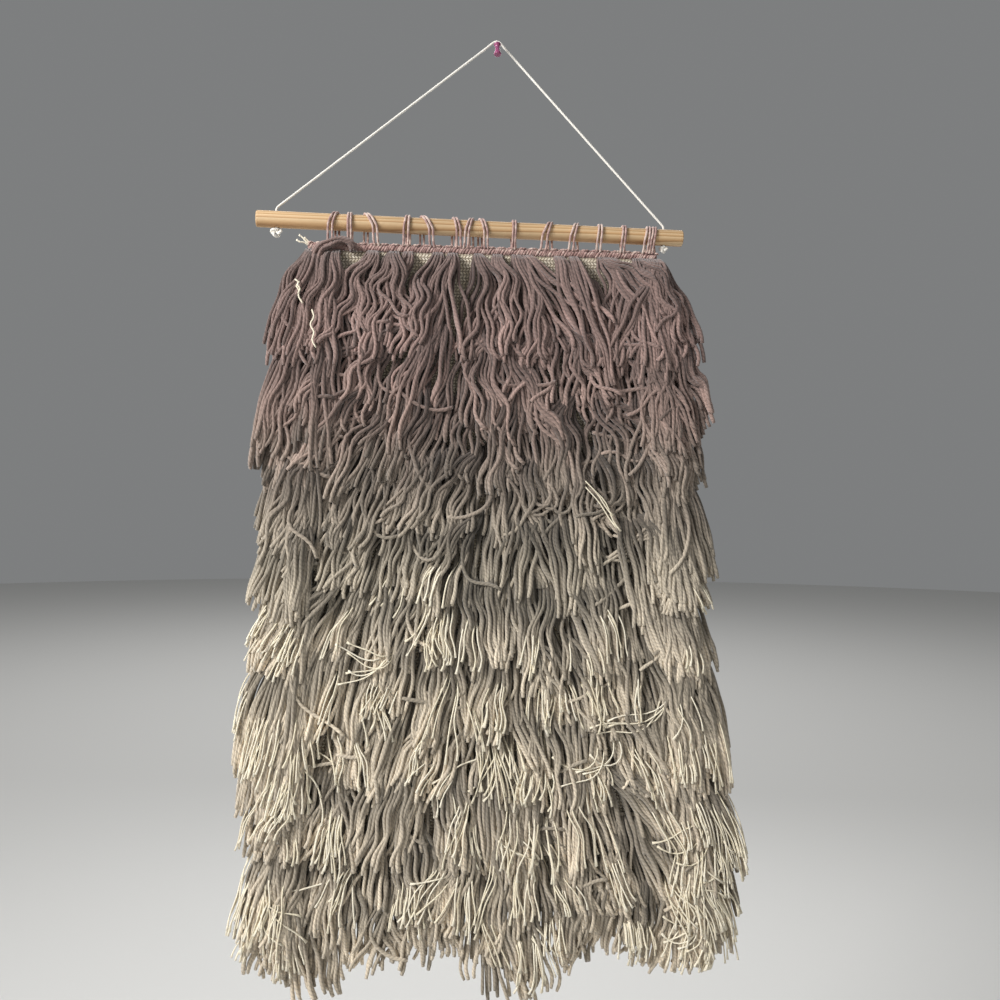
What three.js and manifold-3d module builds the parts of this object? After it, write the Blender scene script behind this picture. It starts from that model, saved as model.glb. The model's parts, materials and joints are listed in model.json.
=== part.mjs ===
// Shaggy tapestry wall hanging: a woven cloth with rows of long knotted yarn, sewn to a wooden
// dowel by yarn loops and hung by a cotton cord from one pushpin.
// Millimetres, +Z up, front towards -Y. The wall is the plane y = 0, and the origin is the point
// where the steel point of the pushpin enters it.
import * as THREE from 'three';
import { mergeVertices } from 'three/addons/utils/BufferGeometryUtils.js';
import Module from 'manifold-3d';

const wasm = await Module();
wasm.setup();

const gap = 0.3; // clearance between pieces that touch in the real object

// pushpin
const needleRadius = 0.55;
const needleInWall = 6.5;
const needleOutOfWall = 7.5; // straight stretch in front of the wall
const needleTipLength = 2;
const bendRadius = 3; // the point is bent down under the load
const droop = THREE.MathUtils.degToRad(75); // handle axis below the horizontal
const neckLength = 1.2; // bare steel between the bend and the handle
const needleInHandle = 6;
const handleLength = 13;
const collarRadius = 3.6;
const waistRadius = 2.1;
const headRadius = 3.7;

// dowel, with one hole drilled down through it near each end
const dowelRadius = 8;
const dowelLength = 420;
const dowelChamfer = 0.8;
const dowelCentre = new THREE.Vector3(-22.5, -11.6, -187.25);
const dowelTilt = THREE.MathUtils.degToRad(0.85); // right end lower
const holeRadius = 2.25;
const holeFromEnd = 19;

// cord, from the left knot over the steel point to the right knot
const cordRadius = 1.15;
const cordCut = 0.8; // gap where the stretch over the pin meets each leg
const cordRoute = [
  [-213.5, -11.6, -192.6], [-213.5, -11.6, -188], [-213.5, -11.6, -180], [-213.5, -11.6, -175.4],
  [-213.1, -11.6, -173.5], [-211.8, -11.5, -171.8], [-206, -11.4, -167],
  [-170, -9.9, -137.2], [-128.2, -8.3, -102.7], [-86.5, -6.7, -68.2], [-44.7, -5.1, -33.6],
  [-10, -3.8, -4.9], [-2.9, -3.5, 1], [0, -3.5, 2], [3.35, -3.5, 0.55], [8, -3.6, -4.5],
  [36.1, -5.1, -35.2], [68.9, -6.7, -70.9], [101.7, -8.3, -106.6], [134.5, -10, -142.3],
  [162, -11.3, -172.2], [167.3, -11.5, -178], [168.2, -11.6, -179.4], [168.5, -11.6, -181.3],
  [168.5, -11.6, -190], [168.5, -11.6, -198.3],
];
const bightEnds = [-5.2, 4.6]; // x where the stretch over the pin starts and ends

// knots under the dowel: half sizes
const knotLeft = { x: -213.5, top: -193, half: [6, 4.5, 4] };
const knotRight = { x: 168.5, top: -198.7, half: [3.4, 3.7, 3.3] };

// sewn edge along the top of the cloth
const headerLeft = -184;
const headerRight = 162.5; // stays short of the right knot when the loops slide
const headerTop = -206;
const headerHeight = 7;
const headerDepth = 5;
const headerStitch = 8;
const headerStitchRise = 0.8;

// yarn loops over the dowel: x at the sewn edge in front, x on top of the dowel
const loopRadius = 1.5;
const loopSpread = 1.9; // half the distance between front and back at the sewn edge
const loopStitches = [
  [-163, -155.5], [-142, -143], [-116, -128], [-89, -86], [-61.5, -73], [-35.5, -41.5],
  [-30.5, -23.5], [-9.5, -15.5], [18, 18], [46, 55], [74, 81], [102, 104], [126.5, 128],
  [149.5, 153], [156, 159],
];

// ground cloth: wider at the bottom than at the sewn edge
const clothDepth = 3;
const clothTop = headerTop - headerHeight - gap;
const clothBottom = -862;
const clothLeft = [-184, -216];
const clothRight = [164, 218];

// yarn fringe: rows of knots, each with a tier of yarn that hangs over the next one
const tierCount = 11;
const firstRow = -217;
const rowPitch = 61;
const bundleCount = 17;
const knotHeight = 5;
const knotDepth = 3.5;
const tierDepth = 7;
const tierLength = 100;
const tierSplay = 30; // how far a tier spreads past each side of the cloth
const lastTierSplay = 18;
const toothDepth = 14;
const tierLean = Math.atan((tierDepth + 1) / rowPitch); // each tier lies on the one below

const woolTop = new THREE.Color('#8a746e');
const woolMiddle = new THREE.Color('#857c70');
const woolBottom = new THREE.Color('#bcae97');

function material(color, roughness, metalness = 0) {
  return new THREE.MeshStandardMaterial({ color, roughness, metalness });
}

function named(name, geometry, itsMaterial) {
  const mesh = new THREE.Mesh(geometry, itsMaterial);
  mesh.name = name;
  return mesh;
}

function number(k) {
  return String(k + 1).padStart(2, '0');
}

// closed mesh to solid and back, for holes and joins
function toSolid(geometry) {
  const bare = geometry.clone();
  bare.deleteAttribute('normal');
  bare.deleteAttribute('uv');
  const merged = mergeVertices(bare, 1e-4);
  return new wasm.Manifold(new wasm.Mesh({
    numProp: 3,
    vertProperties: new Float32Array(merged.attributes.position.array),
    triVerts: new Uint32Array(merged.index.array),
  }));
}

function fromSolid(solid) {
  const mesh = solid.getMesh();
  const geometry = new THREE.BufferGeometry();
  geometry.setAttribute('position', new THREE.BufferAttribute(mesh.vertProperties, 3));
  geometry.setIndex(new THREE.BufferAttribute(mesh.triVerts, 1));
  geometry.computeVertexNormals();
  return geometry;
}

function circle(radius, sides) {
  const shape = new THREE.Shape();
  for (let k = 0; k < sides; k += 1) {
    const angle = (k / sides) * 2 * Math.PI;
    const corner = [radius * Math.cos(angle), radius * Math.sin(angle)];
    if (k === 0) shape.moveTo(...corner);
    else shape.lineTo(...corner);
  }
  shape.closePath();
  return shape;
}

function tube(curve, radius, sides, steps) {
  const settings = { extrudePath: curve, steps, bevelEnabled: false };
  return new THREE.ExtrudeGeometry(circle(radius, sides), settings);
}

// flat panel from an outline in x and z, its back face at y = back and its front at back - depth
function slab(outline, back, depth) {
  const shape = new THREE.Shape(outline.map(([x, z]) => new THREE.Vector2(x, z)));
  const geometry = new THREE.ExtrudeGeometry(shape, { depth, bevelEnabled: false });
  geometry.rotateX(Math.PI / 2);
  geometry.translate(0, back, 0);
  return geometry;
}

function makePushpin() {
  const pin = new THREE.Group();
  const bendStart = new THREE.Vector3(0, -needleOutOfWall, 0);
  const axis = new THREE.Vector3(0, -Math.cos(droop), -Math.sin(droop));
  const path = [new THREE.Vector3(0, needleInWall - needleTipLength, 0), bendStart];
  for (let k = 1; k <= 6; k += 1) {
    const turn = (k / 6) * droop;
    const y = bendStart.y - bendRadius * Math.sin(turn);
    path.push(new THREE.Vector3(0, y, bendRadius * (Math.cos(turn) - 1)));
  }
  const collar = path.at(-1).clone().addScaledVector(axis, neckLength);
  path.push(collar.clone().addScaledVector(axis, needleInHandle - gap));
  const wire = new THREE.CurvePath();
  for (let k = 1; k < path.length; k += 1) wire.add(new THREE.LineCurve3(path[k - 1], path[k]));
  const tip = new THREE.CylinderGeometry(0.02, needleRadius, needleTipLength, 8);
  tip.rotateY(Math.PI / 8);
  tip.translate(0, needleInWall - needleTipLength / 2 - 0.01, 0);
  const shank = toSolid(tube(wire, needleRadius, 8, 48));
  const needle = fromSolid(shank.add(toSolid(tip)));
  pin.add(named('pushpin_needle', needle, material('#b9bcc0', 0.3, 1)));

  // handle turned about its own axis, with the blind hole that grips the steel
  const profile = [
    [0, needleInHandle], [needleRadius + gap, needleInHandle], [needleRadius + gap, 0],
    [collarRadius - 0.5, 0], [collarRadius, 0.5], [collarRadius, 1.3], [collarRadius - 0.5, 1.8],
    [waistRadius + 0.3, 2.6], [waistRadius, 4.4], [waistRadius + 0.2, 6.6], [2.9, 9],
    [headRadius - 0.3, 10.6], [headRadius, 11.4], [headRadius, 12.4],
    [headRadius - 0.6, handleLength], [0, handleLength],
  ].map(([x, y]) => new THREE.Vector2(x, y));
  const handle = new THREE.LatheGeometry(profile, 20);
  const mesh = named('pushpin_handle', handle, material('#a8557f', 0.28));
  mesh.position.copy(collar);
  mesh.rotation.x = droop - Math.PI;
  pin.add(mesh);
  return pin;
}

// a stretch of a curve between two distances along it
function stretch(curve, from, to, steps) {
  const length = curve.getLength();
  const points = [];
  for (let k = 0; k <= steps; k += 1) {
    points.push(curve.getPointAt((from + ((to - from) * k) / steps) / length));
  }
  return new THREE.CatmullRomCurve3(points, false, 'centripetal');
}

function distanceAtX(curve, x) {
  const length = curve.getLength();
  let low = 0;
  let high = 1;
  for (let k = 0; k < 40; k += 1) {
    const middle = (low + high) / 2;
    if (curve.getPointAt(middle).x < x) low = middle;
    else high = middle;
  }
  return low * length;
}

function makeCord() {
  const cord = new THREE.Group();
  const route = cordRoute.map((point) => new THREE.Vector3(...point));
  const curve = new THREE.CatmullRomCurve3(route, false, 'centripetal');
  curve.arcLengthDivisions = 2000;
  const [start, end] = bightEnds.map((x) => distanceAtX(curve, x));
  const whole = curve.getLength();
  const parts = [
    ['cord_leg_left', 0, start - cordCut / 2, 34],
    ['cord_bight', start + cordCut / 2, end - cordCut / 2, 5],
    ['cord_leg_right', end + cordCut / 2, whole, 32],
  ];
  for (const [name, from, to, steps] of parts) {
    const line = stretch(curve, from, to, steps * 2);
    cord.add(named(name, tube(line, cordRadius, 8, steps), material('#ece9e2', 0.9)));
  }
  for (const [name, knot] of [['knot_left', knotLeft], ['knot_right', knotRight]]) {
    const ball = new THREE.SphereGeometry(1, 12, 8);
    ball.scale(...knot.half);
    ball.translate(knot.x, dowelCentre.y, knot.top - knot.half[2]);
    cord.add(named(name, ball, material('#ece9e2', 0.9)));
  }
  return cord;
}

function makeDowel() {
  const half = dowelLength / 2;
  const profile = [
    [0, -half], [dowelRadius - dowelChamfer, -half], [dowelRadius, dowelChamfer - half],
    [dowelRadius, half - dowelChamfer], [dowelRadius - dowelChamfer, half], [0, half],
  ].map(([x, y]) => new THREE.Vector2(x, y));
  const rod = new THREE.LatheGeometry(profile, 32);
  rod.rotateZ(-Math.PI / 2);
  let solid = toSolid(rod);
  for (const side of [-1, 1]) {
    const drill = new THREE.CylinderGeometry(holeRadius, holeRadius, dowelRadius * 3, 16);
    drill.rotateX(Math.PI / 2);
    drill.translate(side * (half - holeFromEnd), 0, 0);
    solid = solid.subtract(toSolid(drill));
  }
  const mesh = named('dowel', fromSolid(solid), material('#c59a68', 0.6));
  mesh.position.copy(dowelCentre);
  mesh.rotation.y = dowelTilt;
  return mesh;
}

// one loop: up from the sewn edge in front, round the dowel and down to the edge at the back
function makeLoop(k) {
  const [bottomX, topX] = loopStitches[k];
  const centreZ = dowelCentre.z - (topX - dowelCentre.x) * Math.tan(dowelTilt);
  const radius = dowelRadius + gap + loopRadius;
  const drop = centreZ - (headerTop + headerStitchRise + 2 * gap);
  const downwards = Math.atan2(-drop, -loopSpread);
  const tangent = Math.acos(radius / Math.hypot(drop, loopSpread));
  const first = downwards - tangent; // where the front leg meets the dowel
  const last = -Math.PI - first; // mirrored for the back leg
  const arcSteps = 10;
  const bend = [];
  for (let i = 0; i <= arcSteps; i += 1) {
    const angle = first + ((last - 2 * Math.PI - first) * i) / arcSteps;
    bend.push([radius * Math.cos(angle), radius * Math.sin(angle)]);
  }
  const section = [[-loopSpread, -drop], ...bend, [loopSpread, -drop]];
  const points = section.map(([y, z], i) => {
    const along = Math.min((2 * i) / (section.length - 1), 1); // the back leg hangs straight
    const x = bottomX + (topX - bottomX) * along;
    return new THREE.Vector3(x, dowelCentre.y + y, centreZ + z);
  });
  const curve = new THREE.CatmullRomCurve3(points, false, 'centripetal');
  return named(`yarn_loop_${number(k)}`, tube(curve, loopRadius, 6, 18), material(woolTop, 0.95));
}

// chain-stitched edge: a bar with one low arch for each stitch along its top
function makeHeader() {
  const count = Math.round((headerRight - headerLeft) / headerStitch);
  const pitch = (headerRight - headerLeft) / count;
  const outline = [[headerLeft, headerTop - headerHeight], [headerRight, headerTop - headerHeight]];
  for (let k = count; k >= 1; k -= 1) {
    const right = headerLeft + k * pitch;
    outline.push([right, headerTop], [right - pitch / 2, headerTop + headerStitchRise]);
  }
  outline.push([headerLeft, headerTop]);
  const bar = slab(outline, dowelCentre.y + headerDepth / 2, headerDepth);
  return named('header_edge', bar, material('#a08982', 0.95));
}

function clothEdge(sides, z) {
  const down = (clothTop - z) / (clothTop - clothBottom);
  return sides[0] + (sides[1] - sides[0]) * down;
}

function makeCloth() {
  const outline = [
    [clothLeft[1], clothBottom], [clothRight[1], clothBottom],
    [clothRight[0], clothTop], [clothLeft[0], clothTop],
  ];
  const cloth = slab(outline, dowelCentre.y + clothDepth / 2, clothDepth);
  return named('ground_cloth', cloth, material('#cfc4ac', 0.95));
}

function woolColour(k) {
  const down = k / (tierCount - 1);
  if (down < 0.4) return woolTop.clone().lerp(woolMiddle, down / 0.4);
  return woolMiddle.clone().lerp(woolBottom, Math.min((down - 0.4) / 0.3, 1));
}

// row of knots on the face of the cloth, one for each bundle of yarn
function makeKnotRow(k) {
  const z = firstRow - k * rowPitch;
  const left = clothEdge(clothLeft, z) + 1;
  const right = clothEdge(clothRight, z) - 1;
  const pitch = (right - left) / bundleCount;
  const outline = [];
  for (let i = 0; i < bundleCount; i += 1) {
    const start = left + i * pitch;
    outline.push([start, z], [start + pitch * 0.25, z - knotHeight / 2]);
    outline.push([start + pitch * 0.75, z - knotHeight / 2]);
  }
  outline.push([right, z], [right, z + knotHeight / 2], [left, z + knotHeight / 2]);
  const row = slab(outline, dowelCentre.y - clothDepth / 2 - gap, knotDepth);
  return named(`knot_row_${number(k)}`, row, material(woolColour(k), 0.95));
}

// tier of yarn: it leans out from its row, spreads past the cloth and ends in cut bundles
function makeTier(k) {
  const z = firstRow - k * rowPitch;
  const splay = k === tierCount - 1 ? lastTierSplay : tierSplay;
  const left = clothEdge(clothLeft, z) - 1;
  const right = clothEdge(clothRight, z) + 1;
  const width = right - left + 2 * splay;
  const pitch = width / bundleCount;
  const outline = [[left, -knotHeight]];
  for (let i = 0; i < bundleCount; i += 1) {
    const start = left - splay + i * pitch;
    outline.push([start, toothDepth - tierLength], [start + pitch * 0.2, -tierLength]);
    outline.push([start + pitch * 0.8, -tierLength]);
  }
  outline.push([right + splay, toothDepth - tierLength], [right, -knotHeight]);
  const tier = named(`fringe_${number(k)}`, slab(outline, 0, tierDepth), material(woolColour(k), 0.95));
  tier.position.set(0, dowelCentre.y - clothDepth / 2 - 2 * gap, z);
  tier.rotation.x = -tierLean;
  return tier;
}

const hanging = new THREE.Group();
hanging.add(makePushpin(), makeCord(), makeDowel());
for (let k = 0; k < loopStitches.length; k += 1) hanging.add(makeLoop(k));
hanging.add(makeHeader(), makeCloth());
for (let k = 0; k < tierCount; k += 1) hanging.add(makeKnotRow(k), makeTier(k));

export default hanging;
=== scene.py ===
# Shaggy tapestry wall hanging: yarn tiers on a woven cloth, a pine dowel, a cotton cord and a pushpin.
import json
import math
import bmesh
import bpy
import numpy as np
from mathutils import Matrix, Vector


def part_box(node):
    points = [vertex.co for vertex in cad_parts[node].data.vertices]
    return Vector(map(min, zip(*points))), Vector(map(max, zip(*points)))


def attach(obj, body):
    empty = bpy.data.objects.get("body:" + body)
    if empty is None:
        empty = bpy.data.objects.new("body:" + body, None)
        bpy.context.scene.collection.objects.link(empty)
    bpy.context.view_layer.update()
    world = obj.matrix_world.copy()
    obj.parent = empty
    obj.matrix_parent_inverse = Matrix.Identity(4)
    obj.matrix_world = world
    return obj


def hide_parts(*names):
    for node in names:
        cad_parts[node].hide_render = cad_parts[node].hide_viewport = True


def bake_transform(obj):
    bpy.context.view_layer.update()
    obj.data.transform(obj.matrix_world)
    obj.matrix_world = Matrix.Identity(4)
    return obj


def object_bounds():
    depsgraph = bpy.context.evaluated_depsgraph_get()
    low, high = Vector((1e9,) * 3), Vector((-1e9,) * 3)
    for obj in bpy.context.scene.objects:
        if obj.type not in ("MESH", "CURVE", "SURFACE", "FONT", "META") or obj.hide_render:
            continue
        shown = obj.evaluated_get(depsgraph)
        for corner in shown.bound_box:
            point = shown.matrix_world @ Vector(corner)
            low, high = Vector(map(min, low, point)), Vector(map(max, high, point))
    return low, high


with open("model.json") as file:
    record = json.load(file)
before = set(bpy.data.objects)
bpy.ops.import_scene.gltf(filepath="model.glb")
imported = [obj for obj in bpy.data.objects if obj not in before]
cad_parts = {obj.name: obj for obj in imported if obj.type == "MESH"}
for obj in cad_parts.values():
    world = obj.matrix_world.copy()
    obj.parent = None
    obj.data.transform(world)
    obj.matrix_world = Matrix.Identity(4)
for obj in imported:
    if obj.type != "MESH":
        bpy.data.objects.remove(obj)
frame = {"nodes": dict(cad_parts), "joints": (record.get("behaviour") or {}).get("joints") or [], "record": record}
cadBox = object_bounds()
scene = bpy.context.scene
rng = np.random.default_rng(7)  # every random draw comes from here
tierCount = sum(1 for name in frame["nodes"] if name.startswith("fringe_"))


# small helpers

def hexToLinear(code):
    parts = [int(code[i:i + 2], 16) / 255 for i in (1, 3, 5)]
    return tuple(c / 12.92 if c <= 0.04045 else ((c + 0.055) / 1.055) ** 2.4 for c in parts) + (1.0,)


def setNode(tree, node, links=None, **settings):
    # settings named in0, in1 ... or by socket name fill sockets, the rest are the node's own options
    for key, value in settings.items():
        if hasattr(node, key):
            setattr(node, key, value)
        elif key.startswith("in") and key[2:].isdigit():
            node.inputs[int(key[2:])].default_value = value
        else:
            node.inputs[key.replace("_", " ")].default_value = value
    for socket, source in (links or {}).items():
        tree.links.new(source, node.inputs[socket])
    return node


def addNode(tree, kind, links=None, **settings):
    return setNode(tree, tree.nodes.new(kind), links, **settings)


def newMaterial(name):
    material = bpy.data.materials.new(name)
    material.use_nodes = True
    tree = material.node_tree
    return material, tree, tree.nodes["Principled BSDF"]


def fillRamp(node, stops):
    ramp = node.color_ramp
    while len(ramp.elements) > 1:
        ramp.elements.remove(ramp.elements[-1])
    ramp.elements[0].position = stops[0][0]
    ramp.elements[0].color = hexToLinear(stops[0][1])
    for place, code in stops[1:]:
        ramp.elements.new(place).color = hexToLinear(code)


def linkObject(name, mesh, material=None):
    piece = bpy.data.objects.new(name, mesh)
    scene.collection.objects.link(piece)
    if material:
        mesh.materials.append(material)
    return piece


def smoothFaces(mesh):
    mesh.polygons.foreach_set("use_smooth", [True] * len(mesh.polygons))


def meshFrom(bm, name):
    mesh = bpy.data.meshes.new(name)
    bm.to_mesh(mesh)
    bm.free()
    return mesh


def applyModifiers(piece):
    graph = bpy.context.evaluated_depsgraph_get()
    mesh = bpy.data.meshes.new_from_object(piece.evaluated_get(graph))
    piece.modifiers.clear()
    piece.data = mesh


def lineOf(x, y, z):
    # a line's points from their coordinates, any of which may be one number for them all
    return np.stack(np.broadcast_arrays(x, y, z), axis=1)


def strand(points, radii=1.0, shade=0.5):
    points = np.asarray(points, float)
    return {"points": points, "radii": np.ones(len(points)) * radii, "shade": shade}


def yarnPiece(name, strands, thickness, material, rounds=1):
    # one tube for each strand; for the material, "shade" is one value for each strand and "rest" is where
    # each point hangs at rest, so that dye stays on the yarn when the yarn bends
    curve = bpy.data.curves.new(name, "CURVE")
    curve.dimensions = "3D"
    curve.bevel_depth = thickness / 2
    curve.bevel_resolution = rounds
    curve.use_fill_caps = False
    for item in strands:
        count = len(item["points"])
        spline = curve.splines.new("POLY")
        spline.points.add(count - 1)
        places = np.ones((count, 4))
        places[:, :3] = item["points"]
        spline.points.foreach_set("co", places.ravel())
        spline.points.foreach_set("radius", item["radii"])
    holder = bpy.data.objects.new(name + "Line", curve)
    scene.collection.objects.link(holder)
    graph = bpy.context.evaluated_depsgraph_get()
    mesh = bpy.data.meshes.new_from_object(holder.evaluated_get(graph))
    bpy.data.objects.remove(holder)
    bpy.data.curves.remove(curve)
    sides = 4 + 2 * rounds
    counts = [len(item["points"]) * sides for item in strands]
    shades = mesh.attributes.new("shade", "FLOAT", "POINT")
    shades.data.foreach_set("value", np.repeat([item["shade"] for item in strands], counts))
    bm = bmesh.new()
    bm.from_mesh(mesh)
    bmesh.ops.holes_fill(bm, edges=[e for e in bm.edges if e.is_boundary], sides=0)
    bm.to_mesh(mesh)
    bm.free()
    spots = np.zeros(len(mesh.vertices) * 3)
    mesh.vertices.foreach_get("co", spots)
    mesh.attributes.new("rest", "FLOAT_VECTOR", "POINT").data.foreach_set("vector", spots)
    mesh.materials.clear()
    smoothFaces(mesh)
    return linkObject(name, mesh, material)


def place(piece, body, slot, *nodes):
    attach(piece, body)
    if nodes:
        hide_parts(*nodes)
    return piece


def hangFrom(piece, k, slot, *nodes):
    # yarn held by its knots: the parts that it stands for are hidden, and its place is baked into its points
    if nodes:
        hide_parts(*nodes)
    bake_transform(piece)


def boxOf(node):
    low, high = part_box(node)
    return np.array(low), np.array(high)


def smoothStep(x):
    x = np.clip(x, 0, 1)
    return x * x * (3 - 2 * x)


# camera: a little to the left of the pin and level with the middle of the yarn

cameraSet = {"place": (-0.0797, -0.9962, -0.4544), "yaw": 5.0, "roll": 0.5, "lens": 36.0}


def makeCamera():
    data = bpy.data.cameras.new("camera")
    data.lens = cameraSet["lens"]
    data.sensor_width = 36
    data.clip_start = 0.01
    camera = bpy.data.objects.new("camera", data)
    turn = Matrix.Rotation(math.radians(-cameraSet["yaw"]), 4, "Z")
    level = Matrix.Rotation(math.radians(90), 4, "X")
    roll = Matrix.Rotation(math.radians(cameraSet["roll"]), 4, "Z")
    camera.matrix_world = Matrix.Translation(cameraSet["place"]) @ turn @ level @ roll
    scene.collection.objects.link(camera)
    scene.camera = camera


makeCamera()


# cotton cord: three plies twisted together, from knot to knot over the pin

cordSet = {
    "diameter": 0.0023, "plies": 3, "plyRadius": 0.00079, "plyOffset": 0.0004, "pitch": 0.0062,
    "step": 0.0009,
    "route": [
        (-0.2135, -0.0116, -0.1926), (-0.2135, -0.0116, -0.188), (-0.2135, -0.0116, -0.18),
        (-0.2135, -0.0116, -0.1754), (-0.2131, -0.0116, -0.1735), (-0.2118, -0.0115, -0.1718),
        (-0.206, -0.0114, -0.167), (-0.17, -0.0099, -0.1372), (-0.1282, -0.0083, -0.1027),
        (-0.0865, -0.0067, -0.0682), (-0.0447, -0.0051, -0.0336), (-0.01, -0.0038, -0.0049),
        (-0.0029, -0.0035, 0.001), (0, -0.0035, 0.002), (0.00335, -0.0035, 0.00055),
        (0.008, -0.0036, -0.0045), (0.0361, -0.0051, -0.0352), (0.0689, -0.0067, -0.0709),
        (0.1017, -0.0083, -0.1066), (0.1345, -0.01, -0.1423), (0.162, -0.0113, -0.1722),
        (0.1673, -0.0115, -0.178), (0.1682, -0.0116, -0.1794), (0.1685, -0.0116, -0.1813),
        (0.1685, -0.0116, -0.19), (0.1685, -0.0116, -0.1983),
    ],
}
overhandSet = {
    "width": {"Left": 0.0105, "Right": 0.0072}, "tail": {"Left": 0.0045, "Right": 0.002}, "lead": 0.0035,
    "opening": 0.16, "points": 90, "shape": (1, 0.9, 0.72), "step": 0.0008,
    "plyRadius": 0.00092, "plyOffset": 0.00052, "pitch": 0.006, "across": (0.31, 0.82, 0.13),
}


def alongOf(points, power=1.0):
    # how far along a line each of its points is
    steps = np.linalg.norm(np.diff(points, axis=0), axis=1)
    return np.concatenate([[0], np.cumsum(steps ** power)])


def evenly(points, step):
    # the same line with points at even distances
    points = np.asarray(points, float)
    along = alongOf(points)
    marks = np.linspace(0, along[-1], max(2, int(round(along[-1] / step)) + 1))
    return np.stack([np.interp(marks, along, points[:, axis]) for axis in range(3)], axis=1)


def between(a, b, t, start, end):
    # a at start, b at end, and on the straight line from one to the other elsewhere
    return ((end - t) * a + (t - start) * b) / (end - start)


def smoothRoute(points, step):
    # centripetal curve through the points
    p = np.asarray(points, float)
    p = np.vstack([2 * p[0] - p[1], p, 2 * p[-1] - p[-2]])
    out = []
    for k in range(1, len(p) - 2):
        knots = alongOf(p[k - 1:k + 3], 0.5)
        t = np.linspace(knots[1], knots[2], 24, endpoint=False)[:, None]
        layer = [p[k - 1 + i] for i in range(4)]
        for size in (1, 2):
            layer = [between(layer[i], layer[i + 1], t, knots[i], knots[i + size]) for i in range(4 - size)]
        out.append(between(layer[0], layer[1], t, knots[1], knots[2]))
    return evenly(np.vstack(out + [p[-2][None]]), step)


def twistedPlies(line, offset, pitch, across=(0, 1, 0)):
    # plies wound round a line; across is a direction that the line never runs along
    tangent = np.gradient(line, axis=0)
    tangent /= np.linalg.norm(tangent, axis=1)[:, None]
    first = np.array(across) - tangent * (tangent @ np.array(across))[:, None]
    first /= np.linalg.norm(first, axis=1)[:, None]
    second = np.cross(tangent, first)
    plies = []
    for k in range(cordSet["plies"]):
        angle = 2 * math.pi * (alongOf(line) / pitch + k / cordSet["plies"])
        ring = first * np.cos(angle)[:, None] + second * np.sin(angle)[:, None]
        plies.append(strand(line + ring * offset))
    return plies


def cottonCordMaterial():
    # mercerised white cotton, twisted from plies: bright, matte, with a fine slanted fibre line
    material, tree, shader = newMaterial("twistedWhiteCotton")
    uv = addNode(tree, "ShaderNodeUVMap")
    fibre = addNode(tree, "ShaderNodeMapping", {"Vector": uv.outputs["UV"]}, Scale=(900.0, 9.0, 1.0))
    noise = addNode(tree, "ShaderNodeTexNoise", {"Vector": fibre.outputs[0]}, Scale=1.0, Detail=3.0)
    ramp = addNode(tree, "ShaderNodeValToRGB", {"Fac": noise.outputs[0]})
    fillRamp(ramp, [(0.25, "#e0dace"), (0.6, "#f6f2ea"), (0.85, "#fffdf8")])
    bump = addNode(tree, "ShaderNodeBump", {"Height": noise.outputs[0]}, Strength=0.35, Distance=0.0002)
    setNode(tree, shader, {"Base Color": ramp.outputs[0], "Normal": bump.outputs[0]},
            Roughness=0.82, Sheen_Weight=0.35, Sheen_Roughness=0.4)
    return material


def knotLine(centre, top, width, tail, way):
    # overhand knot: a trefoil opened at its crossing, with the cord coming in from above and a cut tail
    opening = overhandSet["opening"]
    t = np.linspace(opening, 2 * math.pi - opening, overhandSet["points"])
    loop = lineOf(np.sin(t) + 2 * np.sin(2 * t), -np.sin(3 * t) * 1.15, np.cos(t) - 2 * np.cos(2 * t))
    loop = loop * (width / 6) * np.array(overhandSet["shape"]) + centre
    end = loop[-1] + np.array([tail * 0.45 * way, -tail * 0.5, -tail])
    line = np.vstack([top, (top + loop[0]) / 2 + [0, 0.0008, 0], loop, end])
    return smoothRoute(line[::3], overhandSet["step"])


def makeCord():
    line = smoothRoute(cordSet["route"], cordSet["step"])
    cotton = cottonCordMaterial()
    plies = twistedPlies(line, cordSet["plyOffset"], cordSet["pitch"])
    cord = yarnPiece("hangingCord", plies, 2 * cordSet["plyRadius"], cotton)
    for side, way in (("Left", -1), ("Right", 1)):
        node = "knot_" + side.lower()
        low, high = boxOf(node)
        centre = (low + high) / 2
        top = np.array([centre[0], centre[1], high[2] + overhandSet["lead"]])
        path = knotLine(centre, top, overhandSet["width"][side], overhandSet["tail"][side], way)
        turns = twistedPlies(path, overhandSet["plyOffset"], overhandSet["pitch"], overhandSet["across"])
        knot = yarnPiece("cordKnot" + side, turns, 2 * overhandSet["plyRadius"], cotton)
        place(knot, "hanger", "cotton_cord", node)
    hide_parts("cord_leg_left", "cord_bight", "cord_leg_right")
    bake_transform(cord)


makeCord()


# pushpin: turned plastic handle on a bent steel point

pinSet = {
    "foot": (0, -0.0107, -0.0034), "droop": 75.0, "turns": 64, "rounding": 0.00028,
    "profile": [  # distance from the axis and height, from the blind hole round to the head
        (0, 0.006), (0.00085, 0.006), (0.00085, 0), (0.0031, 0), (0.0036, 0.0005), (0.0036, 0.0013),
        (0.0031, 0.0018), (0.0024, 0.0026), (0.0021, 0.0044), (0.0023, 0.0066), (0.0029, 0.009),
        (0.0034, 0.0106), (0.0037, 0.0114), (0.0037, 0.0124), (0.0031, 0.013), (0, 0.013),
    ],
}


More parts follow.
